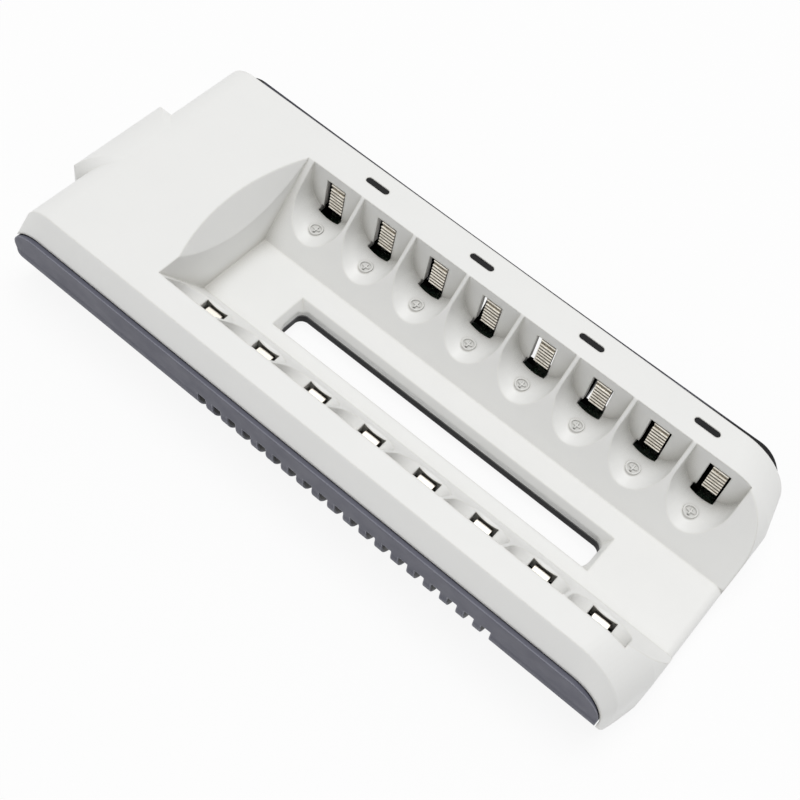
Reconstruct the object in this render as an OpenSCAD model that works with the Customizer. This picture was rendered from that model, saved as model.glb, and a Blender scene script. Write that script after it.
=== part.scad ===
// Eight-bay charger for AA cells with a mains inlet.
// X runs along the row of bays, Y across them and Z up. The feet stand on Z = 0.

/* [Shell] */
// Length of the flat block at the inlet end
block_length = 36.5; // [34:0.1:44]
// Height from the underside of the base to the flat top
body_height = 26.5; // [24:0.1:32]
// Width of the flat top on the indicator side
far_rim = 10.4; // [9:0.1:12]
// Width of the flat top on the vent side
near_rim = 7.1; // [6:0.1:9]
// Width of each bevelled side
bevel_run = 3.35; // [2.5:0.05:5]
// Height of the bevelled sides
bevel_drop = 5.9; // [3:0.1:8]
// Side-view radius of the open end
front_radius = 14.5; // [12:0.1:18]
// Side-view radius of the inlet end
back_radius = 8; // [4:0.1:10]
// How far the open end falls back at the edges of the flat top
front_bow = 2.5; // [1:0.1:4]
// Width of the open end before it falls back
front_flat = 48; // [40:0.5:60]
// How far the open end falls back at the foot of the bevel
front_inset = 4.1; // [3:0.1:6]
// Side-view radius at the foot of the bevel, open end
front_foot_radius = 9.8; // [6:0.1:12]
// Bulge of the bevel past the inlet end
back_bulge = 1; // [0:0.1:1.5]
// General wall of the shell
wall = 2; // [1.5:0.1:2.4]
// Depth of the step that laps over the base
lap_step = 2.7; // [2:0.1:3.5]
// Length of the lip behind the base panels
lip_drop = 5; // [3:0.1:8]

/* [Bays] */
// Spacing of the bays
bay_pitch = 16.5; // [16.1:0.1:17]
// Plain end of the trough beyond the last bay
bay_margin = 8.5; // [7:0.1:12]
// Trough length between the two rims, for a 50.5 mm cell
trough_span = 51.8; // [51:0.1:54]
// Width of the sloping wall below the positive cradles
far_slope = 14.4; // [12:0.1:16]
// Width of the sloping wall below the negative cradles
near_slope = 15.4; // [15:0.1:17]
// Thickness of the trough floor
floor_skin = 1.8; // [1.2:0.1:2]
// Gap between the trough floor and the circuit board
floor_gap = 0.4; // [0.3:0.1:1]
// Plain wall before the first bay
trough_lead = 1.3; // [1:0.1:3]
// Radius rounding the floor over the open end
floor_round = 2; // [1:0.1:3]
// Radius of a cell cradle
cradle_radius = 7.7; // [7.4:0.05:7.8]
// Depth of a cradle below the flat top
cradle_depth = 14.4; // [13:0.1:15.5]
// Thickness of the cradle walls
cradle_skin = 1.6; // [1.2:0.1:1.8]
// Extra fall of the positive cradles towards the trough
mouth_lean = 12; // [6:0.5:14]
// Start of that fall from the back wall
mouth_start = 6.5; // [5:0.1:8]

/* [Finger scoop] */
// Radius of the scoop at the inlet end of the trough
scoop_radius = 66; // [60:1:80]
// Lean of the scoop from upright
scoop_lean = 28; // [20:0.1:32]
// Reach of the scoop into the flat top
scoop_reach = 4.5; // [3:0.1:5]
// Scoop centre from the centre of the shell
scoop_shift = 1.45; // [-1:0.05:2]
// Depth of the scoop below the flat top
scoop_depth = 12; // [10:0.1:14]

/* [Ventilation slot] */
// Length of the slot through the floor
slot_length = 94; // [80:0.5:110]
// Width of the slot
slot_width = 8.9; // [6:0.1:10]
// Slot centre from the centre of the shell
slot_shift = -2.5; // [-4:0.1:0]
// Corner radius of the slot
slot_round = 2.2; // [1:0.1:3]
// Wall round the slot
slot_skin = 1.6; // [1.2:0.1:2.4]
// Gap between the slot wall and the base
slot_gap = 0.2; // [0.15:0.05:0.4]
// Widening of the slot at the trough floor
slot_flare = 1.2; // [0.5:0.1:1.5]
// Depth of the widened mouth
slot_flare_depth = 2; // [1.5:0.1:2.4]

/* [Windows] */
// Width of a positive contact window
far_window_width = 5.9; // [5:0.1:7]
// Top edge of the window below the flat top
window_top = 2.9; // [2:0.1:4]
// Reach of the positive window into the cradle floor
far_window_reach = 1.2; // [0.5:0.1:2]
// Width of a negative contact window
near_window_width = 6.6; // [5.5:0.1:7.5]
// Reach of the negative window along the cradle floor
near_window_reach = 10.1; // [9:0.1:11]
// Widening of a positive window at its foot
window_foot = 0.7; // [0:0.1:1]
// Height of the widened foot above the cradle floor
window_foot_rise = 1.9; // [1:0.1:3]
// Depth of the contact windows below the cradle walls
window_fall = 3; // [1:0.1:3.4]
// Length of an indicator window
led_length = 6.8; // [5:0.1:9]
// Width of an indicator window
led_width = 1.7; // [1.2:0.1:2.5]
// Indicator line from the far inner rim
led_setback = 5.5; // [5:0.1:6.5]
// Play round an indicator window
led_play = 0.1; // [0.05:0.05:0.2]
// Indicator window below the flat top
led_sink = 0.2; // [0:0.05:0.5]
// Outer radius of a polarity ring
ring_radius = 1.85; // [1.5:0.05:3]
// Line width of a polarity mark
ring_line = 0.4; // [0.3:0.05:0.8]
// Length of the cross in a polarity ring
ring_cross = 2; // [1.5:0.1:3]
// Height of a polarity mark
ring_relief = 0.3; // [0.15:0.05:0.4]
// Polarity mark from the back wall of a cradle
ring_setback = 6.1; // [4:0.1:8]

/* [Inlet] */
// Projection of the inlet hump
hump_length = 5.3; // [3:0.1:9]
// Width of the hump
hump_width = 31; // [28:0.1:40]
// Step from the flat top down to the hump
hump_drop = 0.1; // [0.1:0.1:1]
// Radius of the hump's upper edge at its end
hump_end_round = 10.8; // [6:0.1:12]
// Radius of the hump's upper edges at its sides
hump_side_round = 8.6; // [3:0.1:10]
// Radius of the hump's upright corners
hump_corner = 4.6; // [2:0.1:6]
// Shift of the hump towards the indicator side
hump_shift = -1.7; // [-4:0.1:4]
// Width of the inlet block
inlet_width = 19; // [17:0.1:22]
// Height of the inlet block
inlet_height = 12; // [10:0.1:14]
// Depth of the inlet block
inlet_depth = 17; // [14:0.1:20]
// Gap between the inlet block and the circuit board
inlet_gap = 1; // [0.3:0.1:2]
// Inlet face behind the end of the hump
inlet_setback = 0.4; // [0.2:0.1:1]
// Play round the inlet block
inlet_play = 0.1; // [0.05:0.05:0.3]
// Radius of each lobe of the inlet opening
lobe_radius = 4.2; // [3.6:0.05:4.6]
// Depth of the inlet opening
lobe_depth = 12; // [10:0.1:14]
// Height of the waist between the lobes
lobe_waist = 6.8; // [6:0.1:8]
// Spacing of the inlet pins
pin_spacing = 8.6; // [8.2:0.1:9]
// Diameter of an inlet pin
pin_diameter = 2.4; // [2:0.1:2.8]
// Pin tips behind the inlet face
pin_recess = 1; // [0.5:0.1:3]
// Play round a pin in the inlet block
pin_play = 0.05; // [0.02:0.01:0.1]
// Thickness of a pin's tail
tail_thick = 1; // [0.6:0.1:1.5]
// Gap between the inlet block and the tails
tail_gap = 0.3; // [0.2:0.1:0.8]

/* [Base] */
// How far the panels stand out past the bevelled sides
panel_reach = 1.2; // [0.6:0.05:1.6]
// Lean of the panels from upright, in width on each side
panel_lean = 1.8; // [0.5:0.05:2]
// Radius of the lower long edges
base_round = 10; // [6:0.1:10.5]
// Thickness of the base plate and its curved edges
plate = 2.2; // [1.6:0.1:2.4]
// Seam between the shell and the base
seam = 0.3; // [0.2:0.05:0.5]
// Upper corner radius of the panels at the open end
panel_front_round = 9.5; // [6:0.1:12]
// Corner radius of the panels at the inlet end
panel_back_round = 9; // [5:0.1:9.5]
// How far the panels pass the inlet end of the shell
panel_overhang = 1.4; // [0.5:0.1:2]
// Number of vents on each side
vent_count = 19; // [10:1:22]
// Spacing of the vents
vent_pitch = 4.66; // [4.4:0.01:5.4]
// Width of a vent
vent_width = 2.6; // [2:0.1:3]
// Middle of the vents from the middle of the bays
vent_shift = -1.8; // [-8:0.1:8]
// Depth of the vents from the face of the panel, round its lower edge
vent_reach = 6.8; // [4:0.1:8]
// Upper edge of the vents above the underside
vent_high = 11.4; // [8:0.1:13]
// Height of the feet
foot_height = 1; // [0.8:0.1:2]
// Diameter of a foot
foot_diameter = 9; // [6:0.1:10]
// Feet from the ends of the shell
foot_inset = 14; // [12:0.5:24]
// Feet from the centre line
foot_spread = 20; // [14:0.5:22]

/* [Fastening] */
// Diameter of the screw pillars
pillar_diameter = 6; // [5.4:0.1:7]
// Pillars from the end wall at the inlet end
pillar_gap = 2; // [1.8:0.1:3]
// Pillars from the end wall at the open end
pillar_front_gap = 0.2; // [0:0.1:0.5]
// Pillars at the inlet end from the edge of the flat top
pillar_edge = 8; // [7:0.1:10]
// Pillars at the open end from the inner rims
pillar_rim = 4.5; // [4:0.1:6]
// Core diameter of the screws
screw_diameter = 2.6; // [2.2:0.1:3]
// Head diameter of the screws
head_diameter = 5; // [4.4:0.1:5.4]
// Head height of the screws
head_height = 1.8; // [1.4:0.1:2.2]
// Reach of the screws into the pillars
screw_reach = 9; // [6:0.1:10]
// Rise of the screw seats above the base plate
seat_rise = 1.6; // [1.2:0.1:2]
// Thickness of a seat over its screw head
seat_skin = 1.6; // [1.2:0.1:2]
// Wall of a seat round its screw head
seat_wall = 1.5; // [1.2:0.1:2]
// Play round the screws
screw_play = 0.1; // [0.05:0.05:0.2]
// Play round the screw heads
head_play = 0.15; // [0.1:0.05:0.3]
// Spare depth below a screw
hole_spare = 0.5; // [0.3:0.1:1]
// Length of the cross recess in a screw head
recess_length = 2.6; // [2:0.1:3]
// Width of the cross recess
recess_width = 0.7; // [0.5:0.1:1]
// Depth of the cross recess
recess_depth = 0.9; // [0.5:0.1:1.2]

/* [Contacts] */
// Width of a positive contact
plus_width = 4.2; // [3.6:0.1:4.6]
// Thickness of the contact sheet
sheet = 0.4; // [0.3:0.05:0.5]
// Number of ribs on a positive contact
rib_count = 8; // [5:1:9]
// Spacing of the ribs
rib_pitch = 1.1; // [0.9:0.05:1.2]
// Radius of a rib
rib_radius = 0.4; // [0.3:0.05:0.44]
// Positive contact behind the back wall
plus_setback = 0.75; // [0.6:0.05:0.9]
// Positive contact from the middle of its bay
plus_shift = 0.3; // [-0.4:0.1:0.4]
// Top of a positive contact below its window
plus_drop = 1; // [0.6:0.1:1.5]
// Step back from a positive contact to its tail
plus_step = 1.6; // [1.4:0.1:2]
// Foot of a positive contact on the board
plus_foot = 2; // [1:0.1:2.4]
// Width of a negative contact
minus_width = 4.4; // [3.6:0.1:4.8]
// Front bend of a negative contact from the window end
minus_lead = 0.4; // [0.4:0.1:1]
// Run of a negative contact along its window
minus_run = 7.2; // [6:0.1:7.5]
// Rise of the contact tongue above the cradle floor
tongue_rise = 9.2; // [9:0.1:11]
// Radius of the pressed bump on the tongue
bump_radius = 0.7; // [0.6:0.1:0.8]
// Run of a negative contact below the cradle floor
minus_sink = 0.2; // [0.1:0.05:0.4]
// Foot of a negative contact
minus_foot = 1.6; // [1.2:0.1:2]
// Outer radius of the bends of a negative contact
bend_radius = 0.8; // [0.6:0.1:1]
// Clearance under the foot of a negative contact
minus_gap = 0.35; // [0.3:0.05:0.5]

/* [Circuit board] */
// Thickness of the circuit board
board_thick = 1.6; // [1:0.1:1.6]
// Height of the board above the base plate
board_lift = 0.8; // [0.6:0.1:1]
// Board end from the inlet end of the shell
board_start = 9; // [8:0.1:10]
// Board end from the open end of the shell
board_end = 9.8; // [9.5:0.1:12]
// Board edges inside the foot of the panels
board_edge = 7.35; // [7.2:0.05:8]
// Clearance of the board cut-outs
board_play = 0.5; // [0.3:0.1:1]
// Length of a rib under the board
rest_length = 4; // [3:0.1:6]
// Width of a rib under the board
rest_width = 8; // [6:0.1:10]
// Ribs from the centre line
rest_spread = 14; // [12:0.1:16]
// First ribs from the inlet end of the shell
rest_start = 22; // [18:0.1:26]
// Ribs before the ventilation slot
rest_lead = 8; // [6:0.1:10]
// Ribs past the ventilation slot
rest_trail = 6; // [5:0.1:8]

/* [Indicators] */
// Height of an indicator diode
led_height = 5; // [4:0.1:6]
// Diameter of an indicator diode
led_diameter = 3; // [2.6:0.1:3.2]
// Diodes from the line of the windows
led_shift = -1.7; // [-2:0.1:-1.5]
// Gap between a diode and its light pipe
pipe_gap = 0.4; // [0.3:0.1:0.8]
// Length of a light pipe
pipe_length = 4; // [3:0.1:6]
// Thickness of a light pipe
pipe_thick = 2.6; // [2:0.1:2.8]
// Light pipe from the line of the windows
pipe_shift = -0.3; // [-0.5:0.1:0]
// Height of a light pipe's flange
flange_height = 1; // [0.8:0.1:1.5]
// Flange past the ends of a window
flange_ends = 1; // [0.6:0.1:2]
// Flange past the sides of a window
flange_sides = 0.6; // [0.4:0.1:0.8]

/* [Power parts] */
// Transformer from the inlet end of the shell
core_start = 22.5; // [22:0.1:24]
// Transformer from the far edge of the board
core_side = 17; // [16.5:0.1:19]
// Width of the transformer core
core_width = 14; // [12:0.1:15]
// Height of the transformer core
core_height = 15; // [12:0.1:16]
// Thickness of the transformer core
core_thick = 6; // [4:0.1:7]
// Outer legs and yokes of the core
core_leg = 2; // [1.5:0.1:2.4]
// Middle leg of the core
core_middle = 4; // [3:0.1:4.5]
// Winding past the faces of the core
winding_bulge = 2.8; // [2:0.1:3]
// Play round the winding
winding_play = 0.15; // [0.1:0.05:0.3]
// Diameter of the input capacitor
input_diameter = 10; // [8:0.1:11]
// Height of the input capacitor
input_height = 16; // [12:0.1:17]
// Input capacitor from the inlet end of the shell
input_start = 23; // [22:0.1:24]
// Input capacitor from the near edge of the board
input_side = 10; // [9:0.1:10.5]
// Diameter of an output capacitor
output_diameter = 6.3; // [5:0.1:6.5]
// Height of an output capacitor
output_height = 11; // [8:0.1:12]
// Output capacitors from the inlet end of the shell
output_start = 24; // [22:0.1:26]
// First output capacitor from the far edge of the board
output_far = 5.5; // [5:0.1:6]
// Second output capacitor from the near edge of the board
output_near = 19.5; // [19:0.1:20]
// Crimp above the foot of a capacitor
crimp_level = 1.8; // [1.5:0.1:2.4]
// Radius of the crimp
crimp_radius = 0.5; // [0.3:0.05:0.6]
// Edge radius of a capacitor
sleeve_round = 0.6; // [0.3:0.05:1]
// Length of the control chip
chip_length = 9; // [6:0.1:10]
// Width of the control chip
chip_width = 5.2; // [3.8:0.1:6]
// Height of the control chip
chip_height = 1.8; // [1.2:0.1:2.4]
// Control chip from the inlet end of the shell
chip_start = 22; // [20:0.1:24]
// Control chip from the centre line
chip_side = -4.5; // [-6:0.1:-2]

/* [Hidden] */
$fn = 64;
edge = 0.01;
over = 1;
bay_count = 8;
bays_length = bay_count * bay_pitch;
body_length = block_length + trough_lead + bays_length + bay_margin;
total_length = body_length + hump_length;
top_width = far_rim + trough_span + near_rim;
shoulder_width = top_width + 2 * bevel_run;
panel_width = shoulder_width + 2 * panel_reach;
x_front = total_length / 2;
x_back = x_front - body_length;
x_inlet = x_back - hump_length + inlet_setback;
x_bays = x_front - bay_margin - bays_length;
x_trough = x_bays - trough_lead;
x_middle = x_bays + bays_length / 2;
z_low = foot_height;
z_top = z_low + body_height;
z_shoulder = z_top - bevel_drop;
z_panel = z_shoulder - seam;
z_plate = z_low + plate;
z_round = z_low + base_round;
z_seat = z_plate + seat_rise;
z_head = z_seat - seat_skin;
z_board = z_plate + board_lift + board_thick;
z_floor = z_board + floor_gap + floor_skin;
z_cradle = z_top - cradle_depth;
z_axis = z_cradle + cradle_radius;
z_window = z_cradle - cradle_skin - window_fall;
z_leaf = z_cradle - minus_sink;
z_rim = z_top - wall;
z_inlet = z_board + inlet_gap + inlet_height / 2;
y_far = top_width / 2 - far_rim;
y_near = near_rim - top_width / 2;
floor_width = trough_span - far_slope - near_slope;
y_floor = y_near + near_slope + floor_width / 2;
y_lap = shoulder_width / 2 - lap_step;
y_lip = y_lap - wall;
y_base = panel_width / 2 - panel_lean;
y_board = y_base - board_edge;
y_led = y_far + led_setback;
y_plus = y_far + plus_setback;
y_bend = y_near + near_window_reach - minus_lead;
far_skin = wall / cos(atan2(far_slope, z_top - z_floor));
near_skin = wall / cos(atan2(near_slope, z_top - z_floor));
window_height = z_top - window_top - z_window;
seat_diameter = head_diameter + 2 * seat_wall;
pillar_back = x_back + wall + pillar_gap + pillar_diameter / 2;
pillar_front = x_front - wall - pillar_front_gap - pillar_diameter / 2;
pillar_spots = [
    [pillar_back, top_width / 2 - pillar_edge],
    [pillar_back, pillar_edge - top_width / 2],
    [pillar_front, y_far - pillar_rim],
    [pillar_front, y_near + pillar_rim]
];
panel_front = x_front - front_inset - seam;
panel_back = x_back - panel_overhang;
foot_spots = [
    [x_back + foot_inset, foot_spread],
    [x_back + foot_inset, -foot_spread],
    [x_front - foot_inset, foot_spread],
    [x_front - foot_inset, -foot_spread]
];

white = [0.94, 0.94, 0.93];
slate = [0.40, 0.40, 0.46];
nickel = [0.82, 0.80, 0.74];
dark = [0.10, 0.10, 0.11];
board_green = [0.10, 0.34, 0.20];
copper = [0.72, 0.45, 0.20];
sleeve = [0.12, 0.14, 0.25];
lens = [0.85, 0.90, 0.85];

// Helpers
module along_y(length) {
    rotate([90, 0, 0])
        translate([0, 0, -length / 2])
            linear_extrude(length)
                children();
}

module along_x(start, length) {
    translate([start, 0, 0])
        rotate([90, 0, 90])
            linear_extrude(length)
                children();
}

module rounded(size, radius) {
    square([size.x - 2 * radius, size.y], center = true);
    square([size.x, size.y - 2 * radius], center = true);
    for (sx = [-1, 1])
        for (sy = [-1, 1])
            translate([sx * (size.x / 2 - radius), sy * (size.y / 2 - radius)])
                circle(radius);
}

// Flat slab with the rounded side view of the shell, drawn in by the given amounts
module side_slab(width, down, front, back, low, front_round, back_round) {
    rotate([90, 0, 0]) {
        translate([x_front - front - front_round, z_top - down - front_round, -width / 2])
            cylinder(r = front_round, h = width);
        translate([x_back + back + back_round, z_top - down - back_round, -width / 2])
            cylinder(r = back_round, h = width);
        translate([x_back + back, low, -width / 2])
            cube([x_front - front - x_back - back, edge, width]);
    }
}

// Section of the lower body: leaning sides that turn under on a radius
module base_section(inset) {
    half = y_base - inset;
    turn = base_round - inset;
    polygon([
        [-half, z_round], [half, z_round],
        [half + panel_lean, z_panel], [-half - panel_lean, z_panel]
    ]);
    translate([-half, z_round - edge])
        square([2 * half, 2 * edge]);
    translate([base_round - y_base, z_low + inset])
        square([2 * (y_base - base_round), base_round - inset]);
    for (side = [-1, 1])
        translate([side * (y_base - base_round), z_round])
            circle(turn);
}

module shell_outer() {
    intersection() {
        hull() {
            side_slab(front_flat, 0, 0, 0, z_low, front_radius, back_radius);
            side_slab(top_width, 0, front_bow, 0, z_low, front_radius, back_radius);
            side_slab(shoulder_width, bevel_drop, front_inset, -back_bulge, z_low,
                front_foot_radius, back_radius);
        }
        along_x(x_back - over, body_length + 2 * over)
            body_section();
    }
}

// Section of the whole body, for the shell and its hump
module body_section() {
    base_section(0);
    translate([-shoulder_width / 2, z_round])
        square([shoulder_width, body_height]);
}

module shell_inner() {
    hull()
        for (width = [front_flat, 2 * y_lip])
            side_slab(width, wall, wall + (width > front_flat ? front_bow : 0), wall, z_low - over,
                front_radius - wall, back_radius - wall);
}

// Room taken by the base panels and their seam
module panel_room() {
    for (side = [-1, 1])
        translate([0, side * (y_lap + panel_width / 2), 0])
            along_y(panel_width)
                panel_outline(seam);
    along_y(2 * y_lap + over)
        below_lip(panel_front + seam);
    along_y(2 * (y_base - base_round + seam))
        below_lip(x_front - wall - edge);
}

// Side view of a base panel, grown by a seam
module panel_outline(grow) {
    front_r = panel_front_round + grow;
    back_r = panel_back_round + grow;
    high = z_panel + grow;
    front = panel_front + grow;
    back = panel_back - grow;
    translate([back + back_r, z_low - over])
        square([front - front_r - back - back_r, high - z_low + over]);
    translate([front - front_r, high - front_r])
        circle(front_r);
    translate([front - front_r - edge, z_low - over])
        square([front_r + edge, high - front_r - z_low + over]);
    translate([back + back_r, high - back_r])
        circle(back_r);
    translate([back, z_low - over])
        square([back_r + edge, high - back_r - z_low + over]);
}

// Space below the lip, between the end walls
module below_lip(front) {
    translate([x_back + wall + seam, z_low - over])
        square([front - x_back - wall - seam, z_panel - lip_drop - z_low + over]);
}

module trough_section(far_grow, near_grow, down) {
    polygon([
        [y_far + far_grow, z_top + over], [y_far + far_grow, z_top - edge],
        [y_far - far_slope + far_grow, z_floor - down],
        [y_near + near_slope - near_grow, z_floor - down],
        [y_near - near_grow, z_top - edge], [y_near - near_grow, z_top + over]
    ]);
}

// Leaning cylinder that shapes the finger scoop
module scoop(grow) {
    back = x_trough - scoop_reach - grow - wall;
    intersection() {
        translate([x_trough - scoop_reach, scoop_shift, z_top])
            rotate([0, -scoop_lean, 0])
                translate([scoop_radius, 0, 0])
                    cylinder(r = scoop_radius + grow, h = 4 * body_height, center = true, $fn = 240);
        translate([back, y_near - grow, z_top - scoop_depth - grow])
            cube([x_trough - back + edge, trough_span + 2 * grow, scoop_depth + grow + over]);
    }
}

module cradle_outline(radius) {
    translate([0, z_axis])
        circle(radius);
    translate([-radius, z_axis])
        square([2 * radius, z_top - z_axis + over]);
}

// Both rows of cradles, each reaching over its sloping wall and back past its rim
module cradle_row(radius, back) {
    far_reach = far_slope + cradle_radius / 2 + back;
    near_reach = near_slope + cradle_radius / 2 + back;
    for (bay = [0 : bay_count - 1])
        translate([x_bays + (bay + 0.5) * bay_pitch, 0, 0]) {
            translate([0, y_far + back - far_reach / 2, 0])
                along_y(far_reach)
                    cradle_outline(radius);
            translate([0, y_near - back + near_reach / 2, 0])
                along_y(near_reach)
                    cradle_outline(radius);
        }
}

// Softened mouths of the positive cradles
module cradle_mouths() {
    for (bay = [0 : bay_count - 1])
        translate([x_bays + (bay + 0.5) * bay_pitch, y_far - mouth_start, z_axis])
            rotate([90 + mouth_lean, 0, 0])
                translate([0, cradle_radius * (1 - cos(mouth_lean)), -cradle_radius * sin(mouth_lean)])
                    cylinder(r = cradle_radius, h = trough_span / 4);
}

module slot_outline(grow) {
    translate([x_middle, slot_shift])
        rounded([slot_length + 2 * grow, slot_width + 2 * grow], slot_round + grow);
}

// Tapered mouth of the slot
module slot_mouth() {
    intersection() {
        along_x(x_middle - slot_length / 2 - slot_flare - over, slot_length + 2 * slot_flare + 2 * over)
            translate([slot_shift, z_floor])
                mouth_section(slot_width);
        translate([0, slot_shift, 0])
            along_y(slot_width + 2 * slot_flare + 2 * over)
                translate([x_middle, z_floor])
                    mouth_section(slot_length);
    }
}

module mouth_section(width) {
    step = slot_flare * over / slot_flare_depth;
    high = width / 2 + slot_flare + step;
    low = width / 2 - step;
    polygon([
        [-low, -slot_flare_depth - over], [low, -slot_flare_depth - over],
        [high, over], [-high, over]
    ]);
}

module led_outline(grow) {
    width = led_width + 2 * grow;
    square([led_length - led_width, width], center = true);
    for (side = [-1, 1])
        translate([side * (led_length - led_width) / 2, 0])
            circle(width / 2);
}

module at_leds() {
    for (pair = [0 : bay_count / 2 - 1])
        translate([x_bays + (2 * pair + 1) * bay_pitch, y_led, 0])
            children();
}

module polarity_mark() {
    difference() {
        circle(ring_radius);
        circle(ring_radius - ring_line);
    }
    square([ring_cross, ring_line], center = true);
    square([ring_line, ring_cross], center = true);
}

// Raised polarity marks, following the curve of the cradles
module polarity_marks() {
    for (bay = [0 : bay_count - 1])
        translate([x_bays + (bay + 0.5) * bay_pitch, y_far - ring_setback, 0])
            intersection() {
                translate([0, 0, z_cradle - cradle_skin / 2])
                    linear_extrude(cradle_skin)
                        polarity_mark();
                along_y(2 * ring_radius + over)
                    translate([0, z_axis])
                        difference() {
                            circle(cradle_radius + cradle_skin / 4);
                            circle(cradle_radius - ring_relief);
                        }
            }
}

module far_window() {
    translate([-far_window_width / 2, y_far - far_window_reach, z_window])
        cube([far_window_width, far_window_reach + cradle_skin + over, window_height]);
    translate([-far_window_width / 2 - window_foot, y_far - far_window_reach, z_window])
        cube([
            far_window_width,
            far_window_reach + cradle_skin + over,
            z_cradle + window_foot_rise - z_window
        ]);
}

module near_window() {
    translate([-near_window_width / 2, y_near - cradle_skin - over, z_window])
        cube([near_window_width, near_window_reach + cradle_skin + over, window_height]);
}

// Hump round the inlet, flush with the top and rounded towards its end and sides
module hump() {
    length = hump_length + back_radius;
    high = z_top - hump_drop;
    intersection() {
        translate([0, hump_shift, 0])
            along_y(hump_width)
                hump_side(length, high);
        translate([0, hump_shift, 0])
            along_x(x_back - hump_length - over, length + 2 * over)
                hump_front(high);
        translate([0, 0, z_low])
            linear_extrude(body_height)
                hump_plan(length);
    }
}

module hump_side(length, high) {
    translate([x_back - hump_length, z_low])
        square([length, high - hump_end_round - z_low]);
    translate([x_back - hump_length + hump_end_round, z_low])
        square([length - hump_end_round, high - z_low]);
    translate([x_back - hump_length + hump_end_round, high - hump_end_round])
        circle(hump_end_round);
}

module hump_front(high) {
    translate([-hump_width / 2 - over, z_low - over])
        square([hump_width + 2 * over, high - hump_side_round - z_low + over]);
    translate([hump_side_round - hump_width / 2, z_low - over])
        square([hump_width - 2 * hump_side_round, body_height + 2 * over]);
    for (side = [-1, 1])
        translate([side * (hump_width / 2 - hump_side_round), high - hump_side_round])
            circle(hump_side_round);
}

module hump_plan(length) {
    translate([x_back - hump_length + hump_corner, hump_shift - hump_width / 2 - over])
        square([length, hump_width + 2 * over]);
    translate([x_back - hump_length - over, hump_shift + hump_corner - hump_width / 2])
        square([length, hump_width - 2 * hump_corner]);
    for (side = [-1, 1])
        translate([x_back - hump_length + hump_corner, hump_shift + side * (hump_width / 2 - hump_corner)])
            circle(hump_corner);
}

module pillars() {
    for (spot = pillar_spots)
        translate([spot.x, spot.y, z_seat])
            cylinder(d = pillar_diameter, h = z_top - z_seat);
}

// White moulded shell
module top_shell() {
    color(white)
        difference() {
            union() {
                difference() {
                    union() {
                        shell_outer();
                        intersection() {
                            hump();
                            along_x(x_back - hump_length - over, hump_length + back_radius + 2 * over)
                                body_section();
                        }
                    }
                    shell_inner();
                    panel_room();
                }
                intersection() {
                    shell_outer();
                    union() {
                        along_x(x_trough - wall, x_front - x_trough + wall)
                            trough_section(far_skin, near_skin, floor_skin);
                        cradle_row(cradle_radius + cradle_skin, cradle_skin);
                        scoop(wall);
                        translate([0, 0, z_plate + slot_gap])
                            linear_extrude(z_floor - z_plate - slot_gap)
                                slot_outline(slot_skin);
                        pillars();
                    }
                }
            }
            along_x(x_trough, x_front - x_trough + over)
                trough_section(0, 0, 0);
            floor_rounding();
            cradle_row(cradle_radius, 0);
            cradle_mouths();
            scoop(0);
            translate([0, 0, z_low])
                linear_extrude(body_height)
                    slot_outline(0);
            slot_mouth();
            for (bay = [0 : bay_count - 1])
                translate([x_bays + (bay + 0.5) * bay_pitch, 0, 0]) {
                    far_window();
                    near_window();
                }
            at_leds()
                translate([0, 0, z_rim - over])
                    linear_extrude(wall + 2 * over)
                        led_outline(led_play);
            inlet_room();
            for (spot = pillar_spots)
                translate([spot.x, spot.y, z_low])
                    cylinder(
                        d = screw_diameter + 2 * screw_play,
                        h = z_seat - z_low + screw_reach + hole_spare
                    );
        }
    color(white)
        polarity_marks();
}

// Rounds the trough floor over the open end
module floor_rounding() {
    translate([0, y_floor, 0])
        along_y(floor_width)
            difference() {
                translate([x_front - floor_round, z_floor - floor_round])
                    square(floor_round + over);
                translate([x_front - floor_round, z_floor - floor_round])
                    circle(floor_round);
            }
}

// Room for the inlet block through the hump
module inlet_room() {
    wide = inlet_width + 2 * inlet_play;
    high = inlet_height + 2 * inlet_play;
    translate([x_inlet - over, hump_shift - wide / 2, z_inlet - high / 2])
        cube([inlet_depth + 2 * over, wide, high]);
}

// Dark base with its side panels
module base_tray() {
    color(slate)
        difference() {
            union() {
                intersection() {
                    along_x(panel_back, panel_front - panel_back)
                        difference() {
                            base_section(0);
                            tray_room();
                        }
                    along_y(panel_width + over)
                        base_outline();
                }
                for (spot = pillar_spots)
                    translate([spot.x, spot.y, z_low + plate / 2])
                        cylinder(d = seat_diameter, h = z_seat - z_low - plate / 2);
                board_rests();
                translate([panel_front - plate, base_round - y_base, z_low])
                    cube([x_front - panel_front + plate, 2 * (y_base - base_round), plate]);
            }
            end_gaps();
            translate([0, 0, z_low - over])
                linear_extrude(plate + 2 * over)
                    slot_outline(slot_gap);
            vents();
            for (spot = pillar_spots)
                translate([spot.x, spot.y, z_low - over]) {
                    cylinder(d = screw_diameter + 4 * screw_play, h = z_seat - z_low + 2 * over);
                    cylinder(d = head_diameter + 2 * head_play, h = z_head - z_low + over);
                }
        }
}

// Side view of the base: the panels with rounded lower corners at the inlet end
module base_outline() {
    difference() {
        panel_outline(0);
        translate([panel_back - edge, z_low - 2 * over])
            square([panel_back_round, panel_back_round + 2 * over]);
    }
    translate([panel_back + panel_back_round, z_low + panel_back_round])
        circle(panel_back_round);
}

// Inside of the tray
module tray_room() {
    half = y_base - base_round;
    translate([-y_lap - seam, z_round])
        square([2 * y_lap + 2 * seam, body_height]);
    translate([-half, z_plate])
        square([2 * half, base_round]);
    for (side = [-1, 1])
        intersection() {
            translate([side * half, z_round])
                circle(base_round - plate);
            translate([-y_lap - seam, z_low])
                square([2 * y_lap + 2 * seam, base_round + over]);
        }
}

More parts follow.
